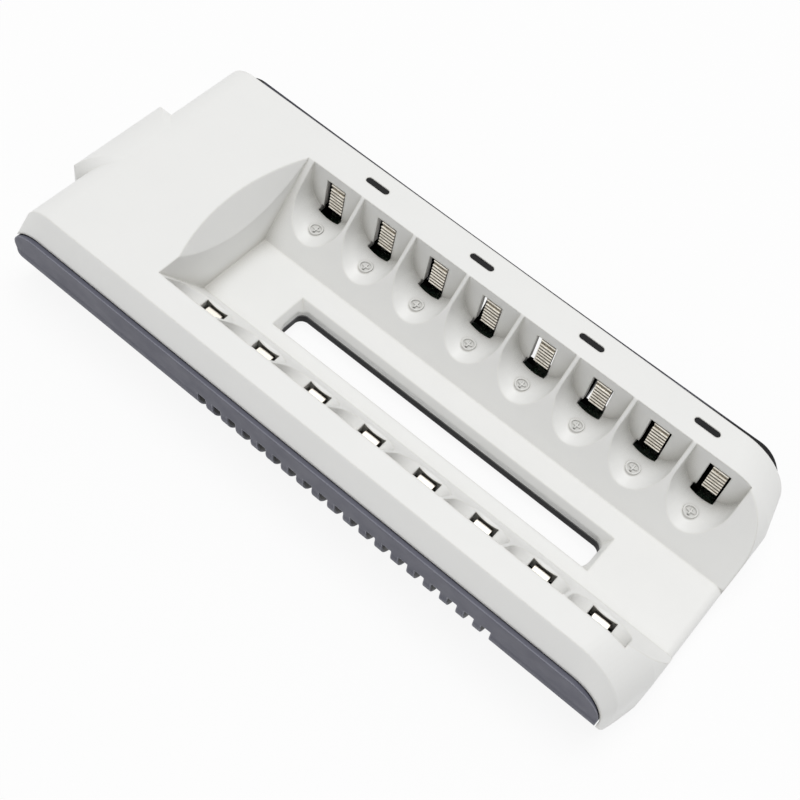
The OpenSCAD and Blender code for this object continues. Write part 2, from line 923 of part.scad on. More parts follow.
// Clears the end walls of the shell
module end_gaps() {
    wide = 2 * (y_lap + seam);
    translate([panel_back - over, -wide / 2, z_low - over])
        cube([x_back + wall + seam - panel_back + over, wide, body_height]);
    translate([x_front - wall - seam, -wide / 2, z_low - over])
        cube([wall + seam + over, wide, body_height]);
}

// Rows of vents that wrap round the lower edges of the panels
module vents() {
    first = x_middle + vent_shift - (vent_count - 1) / 2 * vent_pitch;
    for (vent = [0 : vent_count - 1])
        for (side = [-1, 1])
            translate([
                first + vent * vent_pitch - vent_width / 2,
                side > 0 ? panel_width / 2 - vent_reach : -panel_width / 2 - over,
                z_low - over
            ])
                cube([vent_width, vent_reach + over, vent_high + over]);
}

// Low ribs that carry the board
module board_rests() {
    first = x_back + rest_start;
    before = x_middle - slot_length / 2 - rest_lead;
    past = x_middle + slot_length / 2 + rest_trail;
    for (x = [first, before, past])
        for (y = [-rest_spread, rest_spread])
            translate([x - rest_length / 2, y - rest_width / 2, z_low + plate / 2])
                cube([rest_length, rest_width, board_lift + plate / 2]);
}

// Circuit board with a cut-out round the ventilation slot
module main_board() {
    color(board_green)
        translate([0, 0, z_board - board_thick])
            linear_extrude(board_thick)
                difference() {
                    translate([x_back + board_start, -y_board])
                        square([body_length - board_start - board_end, 2 * y_board]);
                    slot_outline(slot_skin + board_play);
                    for (spot = pillar_spots)
                        translate([spot.x, spot.y])
                            circle(d = seat_diameter + 2 * board_play);
                }
}

// Outline of the two-pin appliance inlet
module inlet_outline() {
    square([pin_spacing, lobe_waist], center = true);
    for (side = [-1, 1])
        translate([side * pin_spacing / 2, 0])
            circle(lobe_radius);
}

module inlet_block() {
    color(dark)
        translate([x_inlet, hump_shift, z_inlet])
            rotate([90, 0, 90])
                difference() {
                    translate([-inlet_width / 2, -inlet_height / 2, 0])
                        cube([inlet_width, inlet_height, inlet_depth]);
                    translate([0, 0, -over])
                        linear_extrude(lobe_depth + over)
                            inlet_outline();
                    for (side = [-1, 1])
                        translate([side * pin_spacing / 2, 0, 0])
                            cylinder(d = pin_diameter + 2 * pin_play, h = inlet_depth + over);
                }
}

// Round inlet pins with flat tails down to the board
module inlet_pins() {
    tail = inlet_depth + tail_gap;
    color(nickel)
        for (side = [-1, 1])
            translate([x_inlet, hump_shift + side * pin_spacing / 2, 0]) {
                translate([pin_recess, 0, z_inlet])
                    rotate([0, 90, 0])
                        cylinder(d = pin_diameter, h = tail + tail_thick - pin_recess);
                translate([tail, -pin_diameter / 2, z_board])
                    cube([tail_thick, pin_diameter, z_inlet + pin_diameter / 2 - z_board]);
            }
}

// Corrugated positive contact: folded top, ribs, step back and tail on the board
module plus_contact(bay) {
    high = z_top - window_top - plus_drop;
    low = high - rib_count * rib_pitch;
    color(nickel)
        along_x(x_bays + (bay + 0.5) * bay_pitch + plus_shift - plus_width / 2, plus_width) {
            translate([y_plus, low])
                square([sheet, high - low]);
            for (rib = [0 : rib_count - 1])
                translate([y_plus, low + (rib + 0.5) * rib_pitch])
                    circle(rib_radius, $fn = 24);
            translate([y_plus, high - sheet])
                square([plus_step, sheet]);
            translate([y_plus, low])
                square([plus_step + sheet, sheet]);
            translate([y_plus + plus_step, z_board])
                square([sheet, low + sheet - z_board]);
            translate([y_plus + plus_step, z_board])
                square([plus_foot, sheet]);
        }
}

// Springy negative contact: foot, riser, run along the window and tongue
module minus_contact(bay) {
    foot = z_board + minus_gap;
    back = y_bend - minus_run;
    low = z_leaf - sheet;
    color(nickel)
        along_x(x_bays + (bay + 0.5) * bay_pitch - minus_width / 2, minus_width) {
            translate([y_bend - minus_foot / 2, foot])
                square([minus_foot, sheet]);
            translate([y_bend - sheet / 2, foot])
                square([sheet, z_leaf - bend_radius - foot]);
            translate([y_bend + sheet / 2 - bend_radius, z_leaf - bend_radius])
                bend();
            translate([back + bend_radius, low])
                square([minus_run + sheet / 2 - 2 * bend_radius, sheet]);
            translate([back + bend_radius, low + bend_radius])
                rotate(180)
                    bend();
            translate([back, low + bend_radius])
                square([sheet, tongue_rise - bend_radius]);
            translate([back + sheet / 2, z_axis])
                difference() {
                    circle(bump_radius, $fn = 32);
                    translate([-2 * bump_radius, -bump_radius])
                        square(2 * bump_radius);
                }
        }
}

// Quarter bend of the contact sheet
module bend() {
    intersection() {
        difference() {
            circle(bend_radius, $fn = 32);
            circle(bend_radius - sheet, $fn = 32);
        }
        square(bend_radius + over);
    }
}

// Dark light pipe: window in the rim, flange below it and a stem over the diode
module light_pipe(pair) {
    stem = z_rim - z_board - led_height - pipe_gap;
    color(dark)
        translate([x_bays + (2 * pair + 1) * bay_pitch, y_led, z_rim]) {
            translate([0, 0, -flange_height])
                linear_extrude(flange_height + wall - led_sink)
                    led_outline(0);
            translate([0, pipe_shift, -flange_height])
                linear_extrude(flange_height)
                    square([led_length + 2 * flange_ends, led_width + 2 * flange_sides], center = true);
            translate([0, pipe_shift, -stem])
                linear_extrude(stem - flange_height / 2)
                    square([pipe_length, pipe_thick], center = true);
        }
}

// Domed diodes under the light pipes
module indicator_diodes() {
    color(lens)
        at_leds()
            translate([0, led_shift, z_board]) {
                cylinder(d = led_diameter, h = led_height - led_diameter / 2);
                translate([0, 0, led_height - led_diameter / 2])
                    sphere(d = led_diameter, $fn = 32);
            }
}

// Transformer: a closed core with a winding round its middle leg
module transformer() {
    window = core_width / 2 - core_leg - core_middle / 2;
    opening = core_height - 2 * core_leg;
    translate([x_back + core_start, y_board - core_side, z_board]) {
        color(dark)
            along_x(-core_thick / 2, core_thick)
                difference() {
                    translate([-core_width / 2, 0])
                        square([core_width, core_height]);
                    for (side = [-1, 1])
                        translate([side * (core_middle + window) / 2, core_height / 2])
                            square([window, opening], center = true);
                }
        color(copper)
            translate([0, 0, core_leg + winding_play])
                linear_extrude(opening - 2 * winding_play)
                    difference() {
                        rounded([
                            core_thick + 2 * winding_bulge,
                            core_middle + 2 * (window - winding_play)
                        ], winding_bulge / 2);
                        square([
                            core_thick + 2 * winding_play,
                            core_middle + 2 * winding_play
                        ], center = true);
                    }
    }
}

// Round capacitor with a crimped foot and a rounded top
module capacitor(diameter, height) {
    rotate_extrude()
        difference() {
            union() {
                square([diameter / 2, height - sleeve_round]);
                square([diameter / 2 - sleeve_round, height]);
                translate([diameter / 2 - sleeve_round, height - sleeve_round])
                    circle(sleeve_round);
            }
            translate([diameter / 2, crimp_level])
                circle(crimp_radius);
        }
}

module input_capacitor() {
    color(sleeve)
        translate([x_back + input_start, input_side - y_board, z_board])
            capacitor(input_diameter, input_height);
}

module output_capacitors() {
    color(sleeve)
        for (y = [y_board - output_far, output_near - y_board])
            translate([x_back + output_start, y, z_board])
                capacitor(output_diameter, output_height);
}

module control_chip() {
    color(dark)
        translate([x_back + chip_start, chip_side, z_board])
            cube([chip_length, chip_width, chip_height]);
}

// Screws driven up through the base into the pillars
module screws() {
    color(nickel)
        for (spot = pillar_spots)
            translate([spot.x, spot.y, z_head]) {
                translate([0, 0, -head_height])
                    difference() {
                        cylinder(d = head_diameter, h = head_height);
                        cross_recess();
                    }
                translate([0, 0, -edge])
                    cylinder(d = screw_diameter, h = seat_skin + screw_reach);
            }
}

module cross_recess() {
    for (turn = [0, 90])
        rotate(turn)
            translate([-recess_length / 2, -recess_width / 2, -edge])
                cube([recess_length, recess_width, recess_depth]);
}

module feet() {
    color(dark)
        for (spot = foot_spots)
            translate([spot.x, spot.y, 0])
                cylinder(d = foot_diameter, h = foot_height);
}

top_shell();
base_tray();
main_board();
inlet_block();
inlet_pins();
plus_contact(0);  // plus_contact_1
plus_contact(1);  // plus_contact_2
plus_contact(2);  // plus_contact_3
plus_contact(3);  // plus_contact_4
plus_contact(4);  // plus_contact_5
plus_contact(5);  // plus_contact_6
plus_contact(6);  // plus_contact_7
plus_contact(7);  // plus_contact_8
minus_contact(0);  // minus_contact_1
minus_contact(1);  // minus_contact_2
minus_contact(2);  // minus_contact_3
minus_contact(3);  // minus_contact_4
minus_contact(4);  // minus_contact_5
minus_contact(5);  // minus_contact_6
minus_contact(6);  // minus_contact_7
minus_contact(7);  // minus_contact_8
light_pipe(0);  // light_pipe_1
light_pipe(1);  // light_pipe_2
light_pipe(2);  // light_pipe_3
light_pipe(3);  // light_pipe_4
indicator_diodes();
transformer();
input_capacitor();
output_capacitors();
control_chip();
screws();
feet();
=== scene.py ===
"""Looks of a desktop charger with eight open bays for AA cells.

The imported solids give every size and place. This script presses the positive
contacts from strip, flares the far panel of the base, dresses all the pieces
in procedural finishes, and sets up the studio and the camera.
"""

import logging
import math
from dataclasses import dataclass, field
from enum import Enum

import bmesh
import bpy
from mathutils import Matrix, Vector


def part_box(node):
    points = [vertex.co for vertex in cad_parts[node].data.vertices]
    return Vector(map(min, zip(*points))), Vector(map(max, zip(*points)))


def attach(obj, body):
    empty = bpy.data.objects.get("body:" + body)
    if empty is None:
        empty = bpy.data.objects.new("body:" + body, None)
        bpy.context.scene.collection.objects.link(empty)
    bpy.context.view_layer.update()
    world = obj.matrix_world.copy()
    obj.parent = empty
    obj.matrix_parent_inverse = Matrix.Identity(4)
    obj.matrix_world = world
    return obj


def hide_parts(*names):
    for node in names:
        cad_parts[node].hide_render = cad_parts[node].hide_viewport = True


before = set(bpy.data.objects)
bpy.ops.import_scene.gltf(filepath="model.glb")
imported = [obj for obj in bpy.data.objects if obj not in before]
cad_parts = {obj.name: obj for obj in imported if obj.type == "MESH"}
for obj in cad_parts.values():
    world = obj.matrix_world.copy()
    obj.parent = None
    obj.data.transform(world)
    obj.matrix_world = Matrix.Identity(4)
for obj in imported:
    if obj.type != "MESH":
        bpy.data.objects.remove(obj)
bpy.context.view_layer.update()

LOG = logging.getLogger("charger")
MM = 0.001
ROOT = "charger"
BAYS = 8
LIGHTS = 4
MERGE_REACH = 0.0001 * MM

Colour = tuple[float, float, float]
Place = tuple[float, float, float]
Node = bpy.types.Node
Socket = bpy.types.NodeSocket


class MouldTexture(Enum):
    """Surface of a mould: grain per metre and grain depth in metres."""

    SATIN = (2600.0, 0.016 * MM)
    MATT = (1700.0, 0.04 * MM)
    POLISHED = (900.0, 0.004 * MM)
    RUBBERY = (1300.0, 0.07 * MM)

    @property
    def grain(self) -> float:
        """Grains per metre."""
        return self.value[0]

    @property
    def depth(self) -> float:
        """Depth of the grain in metres."""
        return self.value[1]


class Plating(Enum):
    """Colours of a plated sheet: the bright metal and its dull patches."""

    NICKEL = ((0.86, 0.82, 0.74), (0.70, 0.65, 0.57))
    ZINC = ((0.60, 0.61, 0.62), (0.42, 0.42, 0.43))

    @property
    def bright(self) -> Colour:
        """Colour of the clean plating."""
        return self.value[0]

    @property
    def dull(self) -> Colour:
        """Colour of the dull patches."""
        return self.value[1]


class Wiring:
    """Adds nodes to one node tree and joins their sockets."""

    def __init__(self, tree: bpy.types.NodeTree) -> None:
        """Keeps the tree that the nodes go into."""
        self.tree = tree

    def add(self, kind: str, values: dict[str, object] | None = None, **settings: object) -> Node:
        """Adds one node.

        Args:
            kind: Blender's type name of the node.
            values: Start values or source sockets of its inputs, by name.
            **settings: Properties of the node itself.

        Returns:
            The new node.
        """
        node = self.tree.nodes.new(kind)
        for name, value in settings.items():
            setattr(node, name, value)
        self.fill(node, values or {})
        return node

    def fill(self, node: Node, values: dict[str, object]) -> None:
        """Feeds several inputs of a node.

        Args:
            node: The node.
            values: Values or source sockets of its inputs, by name.
        """
        for name, value in values.items():
            self.feed(node.inputs[name], value)

    def feed(self, socket: Socket, value: object) -> None:
        """Links another socket to an input, or sets the input's plain value.

        Args:
            socket: The input.
            value: A socket, a number, a vector or a colour.
        """
        if isinstance(value, Socket):
            self.tree.links.new(value, socket)
        elif socket.type == "RGBA" and len(value) == 3:
            socket.default_value = (*value, 1.0)
        else:
            socket.default_value = value

    def math(self, operation: str, first: object, second: object = 0.0) -> Socket:
        """Adds a Math node.

        Args:
            operation: Blender's name of the operation.
            first: First number or socket.
            second: Second number or socket.

        Returns:
            The socket of the result.
        """
        node = self.add("ShaderNodeMath", operation=operation)
        self.feed(node.inputs[0], first)
        self.feed(node.inputs[1], second)
        return node.outputs[0]

    def vector(self, operation: str, *parts: object) -> bpy.types.NodeOutputs:
        """Adds a Vector Math node.

        Args:
            operation: Blender's name of the operation.
            *parts: Vectors or sockets that it works on.

        Returns:
            The outputs of the node.
        """
        node = self.add("ShaderNodeVectorMath", operation=operation)
        for socket, part in zip(node.inputs, parts):
            self.feed(socket, part)
        return node.outputs

    def blend(self, share: object, first: object, second: object) -> Socket:
        """Mixes two colours.

        Args:
            share: Share of the second colour, a socket or a number.
            first: First colour or socket.
            second: Second colour or socket.

        Returns:
            The socket of the mixed colour.
        """
        node = self.add("ShaderNodeMix", data_type="RGBA")
        factor, colour_a, colour_b = (node.inputs[place] for place in (0, 6, 7))
        self.feed(factor, share)
        self.feed(colour_a, first)
        self.feed(colour_b, second)
        return node.outputs[2]

    def spread(self, value: Socket, low: float, high: float,
               start: float = 0.0, stop: float | Socket = 1.0) -> Socket:
        """Maps a span of values to another span.

        Args:
            value: Socket of the value.
            low: Result at the start of the span.
            high: Result at the end of the span.
            start: Start of the span.
            stop: End of the span.

        Returns:
            The socket of the result, kept within low and high.
        """
        node = self.add("ShaderNodeMapRange", {
            "Value": value, "From Min": start, "From Max": stop, "To Min": low, "To Max": high})
        return node.outputs["Result"]

    def place(self) -> Socket:
        """Gives the Object coordinates."""
        return self.add("ShaderNodeTexCoord").outputs["Object"]

    def split(self, vector: Socket) -> bpy.types.NodeOutputs:
        """Gives the X, Y and Z of a vector."""
        return self.add("ShaderNodeSeparateXYZ", {"Vector": vector}).outputs

    def noise(self, scale: float | Socket, detail: float, place: Socket | None = None) -> Socket:
        """Adds a noise.

        Args:
            scale: Noise cells per metre, a number or a socket.
            detail: Octaves of finer noise.
            place: Socket of the coordinates, or None for new Object coordinates.

        Returns:
            The socket of the noise value, about 0.3 to 0.7.
        """
        if place is None:
            place = self.place()
        values = {"Vector": place, "Scale": scale, "Detail": detail}
        return self.add("ShaderNodeTexNoise", values).outputs["Fac"]

    def bump(self, strength: float, depth: float, height: Socket,
             normal: Socket | None = None) -> Socket:
        """Adds a Bump node.

        Args:
            strength: Share of the bump that shows.
            depth: Depth of the bump in metres.
            height: Socket of the height.
            normal: Socket of the normal to bump, or None for the plain one.

        Returns:
            The socket of the bumped normal.
        """
        values = {"Strength": strength, "Distance": depth, "Height": height}
        if normal is not None:
            values["Normal"] = normal
        return self.add("ShaderNodeBump", values).outputs["Normal"]


class Effect:
    """A shader node group that several finishes share, built at its first use."""

    name = "effect"
    inputs: dict[str, float] = {}
    outputs: dict[str, str] = {}

    def wire(self, wiring: Wiring, source: Node, result: Node) -> None:
        """Wires the inside of the group.

        Args:
            wiring: Wiring of the group's tree.
            source: Node that gives the group's inputs.
            result: Node that takes the group's outputs.
        """
        raise NotImplementedError

    def tree(self) -> bpy.types.NodeTree:
        """Finds the group, or builds it.

        Returns:
            The group's node tree.
        """
        tree = bpy.data.node_groups.get(self.name)
        if tree is None:
            tree = bpy.data.node_groups.new(self.name, "ShaderNodeTree")
            sockets = tree.interface
            for name, value in self.inputs.items():
                socket = sockets.new_socket(name, in_out="INPUT", socket_type="NodeSocketFloat")
                socket.default_value = value
            for name, kind in self.outputs.items():
                sockets.new_socket(name, in_out="OUTPUT", socket_type=kind)
            wiring = Wiring(tree)
            self.wire(wiring, wiring.add("NodeGroupInput"), wiring.add("NodeGroupOutput"))
        return tree

    def place(self, wiring: Wiring, **values: float) -> bpy.types.NodeOutputs:
        """Places the group in a material.

        Args:
            wiring: Wiring of the material's tree.
            **values: Values of the group's inputs.

        Returns:
            The outputs of the placed group.
        """
        return wiring.add("ShaderNodeGroup", node_tree=self.tree(), values=values).outputs


class SoftEdges(Effect):
    """Rounded normals at edges, and a mask of the edges."""

    name = "soft_edges"
    inputs = {"Radius": 0.4 * MM}
    outputs = {"Normal": "NodeSocketVector", "Edge": "NodeSocketFloat"}
    samples = 6
    edge_cosine = 0.80
    flat_cosine = 0.995

    def wire(self, wiring: Wiring, source: Node, result: Node) -> None:
        """Compares the rounded normal with the plain one.

        Args:
            wiring: Wiring of the group's tree.
            source: Node that gives the group's inputs.
            result: Node that takes the group's outputs.
        """
        radius = source.outputs["Radius"]
        bevel = wiring.add("ShaderNodeBevel", {"Radius": radius}, samples=self.samples)
        rounded = bevel.outputs["Normal"]
        plain = wiring.add("ShaderNodeNewGeometry").outputs["Normal"]
        turn = wiring.vector("DOT_PRODUCT", rounded, plain)["Value"]
        edge = wiring.spread(turn, 1.0, 0.0, self.edge_cosine, self.flat_cosine)
        wiring.fill(result, {"Normal": rounded, "Edge": edge})


class MouldGrain(Effect):
    """Fine grain, cloudy tone and uneven gloss of a moulded surface."""

    name = "mould_grain"
    inputs = {"Grain": 2600.0, "Cloud": 60.0}
    outputs = {"Height": "NodeSocketFloat", "Mottle": "NodeSocketFloat", "Gloss": "NodeSocketFloat"}
    gloss_scale = 3.7
    noise_span = (0.32, 0.68)

    def wire(self, wiring: Wiring, source: Node, result: Node) -> None:
        """Draws three noises of different size.

        Args:
            wiring: Wiring of the group's tree.
            source: Node that gives the group's inputs.
            result: Node that takes the group's outputs.
        """
        place = wiring.place()
        cells = source.outputs["Cloud"]
        height = wiring.noise(source.outputs["Grain"], 2.0, place)
        cloud = wiring.noise(cells, 4.0, place)
        gloss = wiring.noise(wiring.math("MULTIPLY", cells, self.gloss_scale), 3.0, place)
        wiring.fill(result, {
            "Height": height,
            "Mottle": wiring.spread(cloud, 0.0, 1.0, *self.noise_span),
            "Gloss": wiring.spread(gloss, 0.0, 1.0, *self.noise_span)})


class CornerShade(Effect):
    """Mask of corners and recesses, where shade is painted into the colour."""

    name = "settled_dust"
    inputs = {"Reach": 4.0 * MM}
    outputs = {"Crease": "NodeSocketFloat"}
    samples = 6
    corner_share = 0.25
    clear_share = 0.85

    def wire(self, wiring: Wiring, source: Node, result: Node) -> None:
        """Turns the closeness of neighbouring walls into a mask.

        Args:
            wiring: Wiring of the group's tree.
            source: Node that gives the group's inputs.
            result: Node that takes the group's outputs.
        """
        reach = source.outputs["Reach"]
        walls = wiring.add("ShaderNodeAmbientOcclusion", {"Distance": reach}, samples=self.samples)
        crease = wiring.spread(walls.outputs["AO"], 1.0, 0.0, self.corner_share, self.clear_share)
        wiring.fill(result, {"Crease": crease})


class RolledSheet(Effect):
    """Fine lines and dull patches of rolled sheet metal."""

    name = "rolled_sheet"
    inputs = {"Lines": 9000.0, "Patches": 700.0}
    outputs = {"Height": "NodeSocketFloat", "Dull": "NodeSocketFloat"}
    stretch = (0.05, 1.0, 1.0)
    patch_span = (0.38, 0.70)

    def wire(self, wiring: Wiring, source: Node, result: Node) -> None:
        """Stretches one noise into lines and leaves another as patches.

        Args:
            wiring: Wiring of the group's tree.
            source: Node that gives the group's inputs.
            result: Node that takes the group's outputs.
        """
        place = wiring.place()
        drawn = wiring.add("ShaderNodeMapping", {"Vector": place, "Scale": self.stretch})
        lines = wiring.noise(source.outputs["Lines"], 2.0, drawn.outputs["Vector"])
        patches = wiring.noise(source.outputs["Patches"], 3.0, place)
        dull = wiring.spread(patches, 0.0, 1.0, *self.patch_span)
        wiring.fill(result, {"Height": lines, "Dull": dull})


class DeepShade(Effect):
    """Mask of narrow and closed spaces that hardly any light reaches."""

    name = "deep_shade"
    inputs = {"Reach": 15.0 * MM, "Open": 0.28}
    outputs = {"Shade": "NodeSocketFloat"}
    samples = 8
    closed_share = 0.06

    def wire(self, wiring: Wiring, source: Node, result: Node) -> None:
        """Keeps only the places that are almost fully enclosed.

        Args:
            wiring: Wiring of the group's tree.
            source: Node that gives the group's inputs.
            result: Node that takes the group's outputs.
        """
        reach = source.outputs["Reach"]
        walls = wiring.add("ShaderNodeAmbientOcclusion", {"Distance": reach}, samples=self.samples)
        free = walls.outputs["AO"]
        shade = wiring.spread(free, 1.0, 0.0, self.closed_share, source.outputs["Open"])
        wiring.fill(result, {"Shade": shade})


SOFT_EDGES = SoftEdges()
MOULD_GRAIN = MouldGrain()
CORNER_SHADE = CornerShade()
ROLLED_SHEET = RolledSheet()
DEEP_SHADE = DeepShade()


def new_material(name: str) -> tuple[bpy.types.Material, Wiring, Node]:
    """Makes a material with a Principled BSDF.

    Args:
        name: Name of the material.

    Returns:
        The material, the wiring of its tree, and its shader node.
    """
    material = bpy.data.materials.new(name)
    material.use_nodes = True
    wiring = Wiring(material.node_tree)
    return material, wiring, material.node_tree.nodes["Principled BSDF"]


def shaded(colour: Colour, share: float) -> Colour:
    """Gives a colour that is darker or brighter by a share."""
    return tuple(share * part for part in colour)


@dataclass(frozen=True)
class MouldedPlastic:
    """An opaque plastic with the surface of its mould, painted shade and painted edge highlights.
    """

    name: str
    colour: Colour
    cloud: Colour
    # edge is a painted highlight along the edges.
    edge: Colour
    # crease is painted shade in corners and recesses, warm-tinted on the white.
    crease: Colour
    roughness: float
    texture: MouldTexture
    rounding: float
    reach: float
    # depth is painted shade in narrow, closed spaces.
    depth: Colour = (0.02, 0.02, 0.02)
    open_share: float = 0.28
    specular: float = 0.5
    gloss_swing: float = 0.05
    grain_strength: float = 0.6

    def hidden(self, wiring: Wiring) -> Socket | float:
        """Gives the share of places that lie in shade for another reason."""
        return 0.0

    def build(self) -> bpy.types.Material:
        """Builds the material.

        Returns:
            The finished material.
        """
        material, wiring, shader = new_material(self.name)
        edges = SOFT_EDGES.place(wiring, Radius=self.rounding)
        grain = MOULD_GRAIN.place(wiring, Grain=self.texture.grain)
        corner_shade = CORNER_SHADE.place(wiring, Reach=self.reach)
        deep = DEEP_SHADE.place(wiring, Open=self.open_share)
        shade = wiring.math("MAXIMUM", deep["Shade"], self.hidden(wiring))
        tone = wiring.blend(grain["Mottle"], self.colour, self.cloud)
        # Painted shade in corners and recesses.
        tone = wiring.blend(corner_shade["Crease"], tone, self.crease)
        # Painted highlight on the edges.
        tone = wiring.blend(edges["Edge"], tone, self.edge)
        # Painted shade in closed spaces, from the deep-shade mask and from hidden().
        tone = wiring.blend(shade, tone, self.depth)
        smooth, rough = self.roughness - self.gloss_swing, self.roughness + self.gloss_swing
        wiring.fill(shader, {
            "Base Color": tone,
            "Roughness": wiring.spread(grain["Gloss"], smooth, rough),
            "Specular IOR Level": self.specular,
            "Normal": wiring.bump(
                self.grain_strength, self.texture.depth, grain["Height"], edges["Normal"])})
        return material


@dataclass(frozen=True)
class SlotPlastic(MouldedPlastic):
    """A moulded plastic with black painted as shade low round the through slot."""

    slot_middle: Place = (17.3 * MM, -2.5 * MM, 0.0)
    slot_half: Place = (49.5 * MM, 6.2 * MM, 6.0 * MM)

    def hidden(self, wiring: Wiring) -> Socket:
        """Marks a block round the slot, where black is painted as shade.

        Args:
            wiring: Wiring of the material's tree.

        Returns:
            Socket that is 1 inside the block.
        """
        away = wiring.vector("SUBTRACT", wiring.place(), self.slot_middle)["Vector"]
        parts = wiring.split(wiring.vector("ABSOLUTE", away)["Vector"])
        inside: Socket | float = 1.0
        for axis, half in zip("XYZ", self.slot_half):
            within = wiring.math("LESS_THAN", parts[axis], half)
            inside = wiring.math("MULTIPLY", inside, within)
        return inside


@dataclass(frozen=True)
class TrayPlastic(SlotPlastic):
    """The plastic of the base, with black painted as shade inside and on the far panel's upper rim.
    """

    flat_half: float = 27.4 * MM
    turn_level: float = 11.0 * MM
    turn_radius: float = 10.0 * MM
    skin: float = 0.6 * MM
    rim_shade_start: float = 37.7 * MM
    rim_shade_rise: float = 0.5

    def hidden(self, wiring: Wiring) -> Socket:
        """Marks what the vents show of the inside, and the far panel's upper rim, for painted
        shade.

        Args:
            wiring: Wiring of the material's tree.

        Returns:
            Socket that is 1 inside the tray, round the slot and on the far upper rim: painted
            shade.
        """
        parts = wiring.split(wiring.place())
        facing = wiring.split(wiring.add("ShaderNodeNewGeometry").outputs["Normal"])
        # The far panel's upward-facing upper rim gets black painted as shade.
        rim_shade = wiring.math("MULTIPLY", wiring.math("GREATER_THAN", parts["Y"], self.rim_shade_start),
                           wiring.math("GREATER_THAN", facing["Z"], self.rim_shade_rise))
        # The inside of the tray, as the vents show it, gets black painted as shade.
        side = wiring.math("SUBTRACT", wiring.math("ABSOLUTE", parts["Y"]), self.flat_half)
        side = wiring.math("MAXIMUM", side, 0.0)
        down = wiring.math("SUBTRACT", parts["Z"], self.turn_level)
        down = wiring.math("MINIMUM", down, 0.0)
        away = wiring.math("ADD", wiring.math("MULTIPLY", side, side),
                           wiring.math("MULTIPLY", down, down))
        inside = wiring.math("LESS_THAN", wiring.math("SQRT", away), self.turn_radius - self.skin)
        inside = wiring.math("MAXIMUM", inside, rim_shade)
        return wiring.math("MAXIMUM", inside, super().hidden(wiring))


@dataclass(frozen=True)
class PlatedSheet:
    """A plated sheet metal with rolling lines, dull patches and painted shade in close corners."""

    name: str
    plating: Plating
    roughness: float
    # crease_shade is painted shade in close corners, near black on the plates and brownish on the
    # leaves.
    crease_shade: Colour = (0.02, 0.018, 0.016)
    reach: float = 0.7 * MM
    rim: Colour = (0.62, 0.55, 0.45)
    rounding: float = 0.1 * MM
    bright_swing: float = 0.06
    dull_swing: float = 0.12
    line_strength: float = 0.3
    line_depth: float = 0.008 * MM

    def build(self) -> bpy.types.Material:
        """Builds the material.

        Returns:
            The finished material.
        """
        material, wiring, shader = new_material(self.name)
        edges = SOFT_EDGES.place(wiring, Radius=self.rounding)
        sheet = ROLLED_SHEET.place(wiring)
        dark = CORNER_SHADE.place(wiring, Reach=self.reach)
        tone = wiring.blend(sheet["Dull"], self.plating.bright, self.plating.dull)
        tone = wiring.blend(edges["Edge"], tone, self.rim)
        # Painted shade in close corners.
        tone = wiring.blend(dark["Crease"], tone, self.crease_shade)
        bright, dull = self.roughness - self.bright_swing, self.roughness + self.dull_swing
        wiring.fill(shader, {
            "Base Color": tone,
            "Metallic": 1.0,
            "Roughness": wiring.spread(sheet["Dull"], bright, dull),
            "Normal": wiring.bump(
                self.line_strength, self.line_depth, sheet["Height"], edges["Normal"])})
        return material


@dataclass(frozen=True)
class BoardLaminate:
    """A lacquered circuit board with tracks under the lacquer."""

    name: str
    lacquer: Colour
    track: Colour
    pitch: float
    track_length: float = 5.0
    track_width: float = 0.22
    weave: float = 1500.0
    weave_dark: float = 0.6
    weave_height: float = 0.2
    relief: float = 0.03 * MM

    def build(self) -> bpy.types.Material:
        """Builds the material.

        Returns:
            The finished material.
        """
        material, wiring, shader = new_material(self.name)
        place = wiring.place()
        tracks = wiring.add("ShaderNodeTexBrick", {
            "Vector": place, "Scale": 1.0, "Mortar Size": self.track_width * self.pitch,
            "Mortar Smooth": 0.1, "Brick Width": self.track_length * self.pitch,
            "Row Height": self.pitch}).outputs["Fac"]
        weave = wiring.noise(self.weave, 2.0, place)
        tone = wiring.blend(tracks, self.lacquer, self.track)
        woven = wiring.spread(weave, low=0.0, high=0.35, start=0.4, stop=0.7)
        tone = wiring.blend(woven, tone, shaded(self.lacquer, self.weave_dark))
        height = wiring.math("ADD", tracks, wiring.math("MULTIPLY", weave, self.weave_height))
        wiring.fill(shader, {
            "Base Color": tone,
            "Roughness": wiring.spread(weave, low=0.28, high=0.45, start=0.35, stop=0.65),
            "Normal": wiring.bump(0.5, self.relief, height)})
        return material


